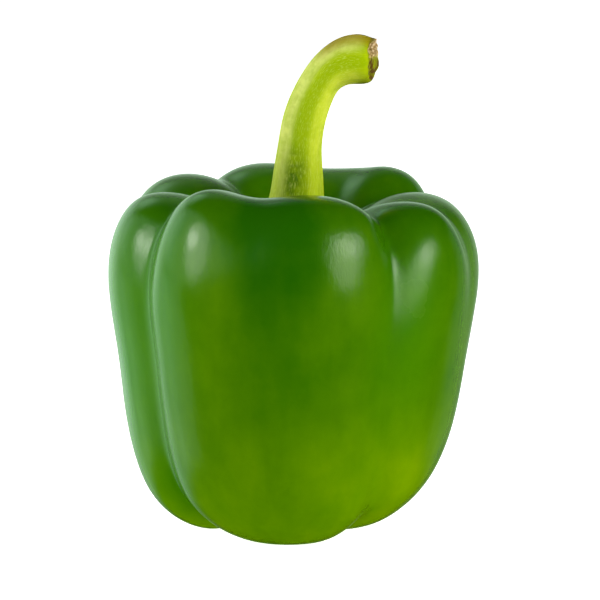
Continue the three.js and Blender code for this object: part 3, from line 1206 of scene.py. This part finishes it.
LIGHTS = (
    SoftLight("left_fill", Reach.MATT, -66, 20, 0.9, 0.9, 0.95, 2.5),
    SoftLight("right_fill", Reach.MATT, 60, 18, 0.9, 0.62, 0.75, 5.4),
    SoftLight("top_fill", Reach.MATT, 0, 72, 1.0, 0.9, 0.6, 1.2),
    SoftLight("table_glow", Reach.MATT, 0, -90, 0.09, 3.0, 3.0, 1.3),
    SoftLight("left_panel", Reach.GLOSS, -78, 20, 0.9, 1.9, 1.0, 1.05, (0.28, 0.1), Outline.ROUND, LEAF),
    SoftLight("left_low_panel", Reach.GLOSS, -100, -17, 0.9, 0.62, 0.5, 0.8, (0.5, 0.3), tint=LEAF),
    SoftLight("left_softbox", Reach.GLOSS, -67, 18, 0.86, 0.56, 0.78, 3.3, (0.3, 0.1), Outline.ROUND),
    SoftLight("left_lamp", Reach.GLOSS, -74, 22, 0.84, 0.34, 0.34, 6.4, (0.5, 0.5), Outline.ROUND),
    SoftLight("left_back_panel", Reach.GLOSS, -132, 0, 0.9, 1.62, 1.4, 1.0, (1.0, 0.4), tint=LEAF),
    SoftLight("right_softbox", Reach.GLOSS, 48, 13, 0.9, 0.66, 0.74, 3.3, (0.2, 0.1), Outline.ROUND),
    SoftLight("right_lamp", Reach.GLOSS, 61, 22, 0.86, 0.74, 0.46, 4.6, (0.6, 0.1), Outline.ROUND),
    SoftLight("right_back_panel", Reach.GLOSS, 136, -4, 0.9, 0.6, 0.9, 0.24, (0.3, 0.4), tint=LEAF),
    SoftLight("back_top", Reach.GLOSS, -146, 43, 0.9, 0.66, 0.5, 1.4, (0.8, 0.1), Outline.ROUND, LEAF),
)


@dataclass
class Studio:
    """Everything round the pepper: surroundings, pale floor and backdrop, lights and camera."""

    lights: tuple[SoftLight, ...] = LIGHTS
    aim: Triple = (0, 0, 0.055)
    floor_half: float = 4.0
    backdrop_height: float = 3.0
    backdrop_sides: int = 96
    picture: int = 600
    axis_column: float = 293.7
    ground_row: float = 531.2
    fruit_width: float = 0.090
    fruit_pixels: float = 372.0
    camera_distance: float = 1.2
    camera_elevation: float = 7.5
    sensor: float = 36.0
    bright_side: Triple = (-0.29, 0.93, 0.2)
    bright_edge: Pair = (0.56, 0.95)
    horizon: Pair = (-0.45, -0.05)
    zenith: Pair = (0.15, 0.6)
    zenith_share: float = 0.35
    back_tint: Triple = (0.74, 1.0, 0.78)
    back_brightness: float = 0.95
    front_brightness: float = 0.0

    def for_the_camera(self, name: str, corners: Array, faces: Array, paint: LitPaint) -> bpy.types.Object:
        """Make a piece of the studio that only the camera sees.

        Args:
            name: Its name.
            corners: Its vertices in metres.
            faces: Its faces as vertex numbers.
            paint: Its finish.

        Returns:
            The piece.
        """
        mesh = bpy.data.meshes.new(name)
        mesh.from_pydata(corners.tolist(), [], faces.tolist())
        mesh.materials.append(paint.material())
        piece = bpy.data.objects.new(name, mesh)
        piece.visible_glossy = False
        piece.visible_diffuse = False
        piece.visible_shadow = False
        bpy.context.scene.collection.objects.link(piece)
        return piece

    def floor(self) -> bpy.types.Object:
        """Lay the floor.

        Returns:
            The floor.
        """
        corners = np.array([(-1, -1, 0), (1, -1, 0), (1, 1, 0), (-1, 1, 0)]) * self.floor_half
        floor = self.for_the_camera("floor", corners, np.array([(0, 1, 2, 3)]), PALE_FLOOR)
        return floor

    def backdrop(self) -> bpy.types.Object:
        """Stand a white round wall at the floor's edge.

        Returns:
            The wall.
        """
        angle = np.linspace(0, 2 * np.pi, self.backdrop_sides, endpoint=False)
        circle = np.stack([np.sin(angle), -np.cos(angle)], axis=-1) * self.floor_half
        low = np.column_stack([circle, np.full(len(angle), -self.backdrop_height)])
        high = low * (1, 1, -1)
        start = np.arange(len(angle))
        beside = (start + 1) % len(angle)
        faces = np.stack([start, start + len(angle), beside + len(angle), beside], axis=-1)
        wall = self.for_the_camera("backdrop", np.concatenate([low, high]), faces, PAPER)
        return wall

    def surroundings(self) -> bpy.types.World:
        """Make surroundings that are bright behind the pepper and fade to dark in front.

        Their strength is the product of three smooth steps: one over the share of the direction
        that points to the bright side, one over the horizon and one towards the zenith.

        Returns:
            The surroundings.
        """
        world = bpy.data.worlds.new("studio")
        bpy.context.scene.world = world
        world.use_nodes = True
        tree = NodeTree(world.node_tree)
        place = tree.add("TexCoord", {}, {}).outputs["Generated"]
        along = tree.vector_maths("DOT_PRODUCT", place, self.bright_side).outputs["Value"]
        height = tree.split(place)[2]
        ends = (self.front_brightness, self.back_brightness)
        strength = tree.product(
            tree.fit(along, self.bright_edge, ends, Step.SMOOTH),
            tree.fit(height, self.horizon, step=Step.SMOOTH),
        )
        overhead = tree.fit(height, self.zenith, (1.0, self.zenith_share), Step.SMOOTH)
        background = tree.nodes["Background"]
        tree.join(tree.product(strength, overhead), background.inputs["Strength"])
        background.inputs["Color"].default_value = (*self.back_tint, 1)
        return world

    def camera(self) -> bpy.types.Object:
        """Stand the camera where the photograph was taken from.

        The pepper's width gives the size of a pixel at the axis, and the row of the ground and
        the column of the axis give the point that the camera faces and its small shift.

        Returns:
            The camera.
        """
        pixel = self.fruit_width / self.fruit_pixels
        middle = self.picture / 2
        height = (self.ground_row - middle) * pixel / math.cos(math.radians(self.camera_elevation))
        target = Vector((0, 0, height))
        back = Vector(heading(0, self.camera_elevation))
        data = bpy.data.cameras.new("camera")
        data.sensor_width = self.sensor
        data.lens = self.sensor * self.camera_distance / (self.picture * pixel)
        data.shift_x = (middle - self.axis_column) / self.picture
        data.clip_start = 0.01
        camera = bpy.data.objects.new("camera", data)
        camera.location = target + back * self.camera_distance
        camera.rotation_mode = "QUATERNION"
        camera.rotation_quaternion = (-back).to_track_quat("-Z", "Y")
        bpy.context.scene.collection.objects.link(camera)
        bpy.context.scene.camera = camera
        return camera

    def build(self) -> None:
        """Set up everything round the pepper."""
        bpy.context.scene.view_settings.view_transform = "Standard"
        self.camera()
        self.floor()
        self.backdrop()
        self.surroundings()
        for light in self.lights:
            light.build(Vector(self.aim))


def main() -> None:
    """Build the studio, the fruit and the stem."""
    centring = (-0.237, -0.017, 0.0)
    form = SkinForm()
    Studio().build()
    for maker in (Fruit(form, centring), Stem(form, centring)):
        piece = maker.build()
        log.info("%s: %d faces for node %s", piece.name, len(piece.data.polygons), maker.node)


if __name__ == "__main__":
    main()
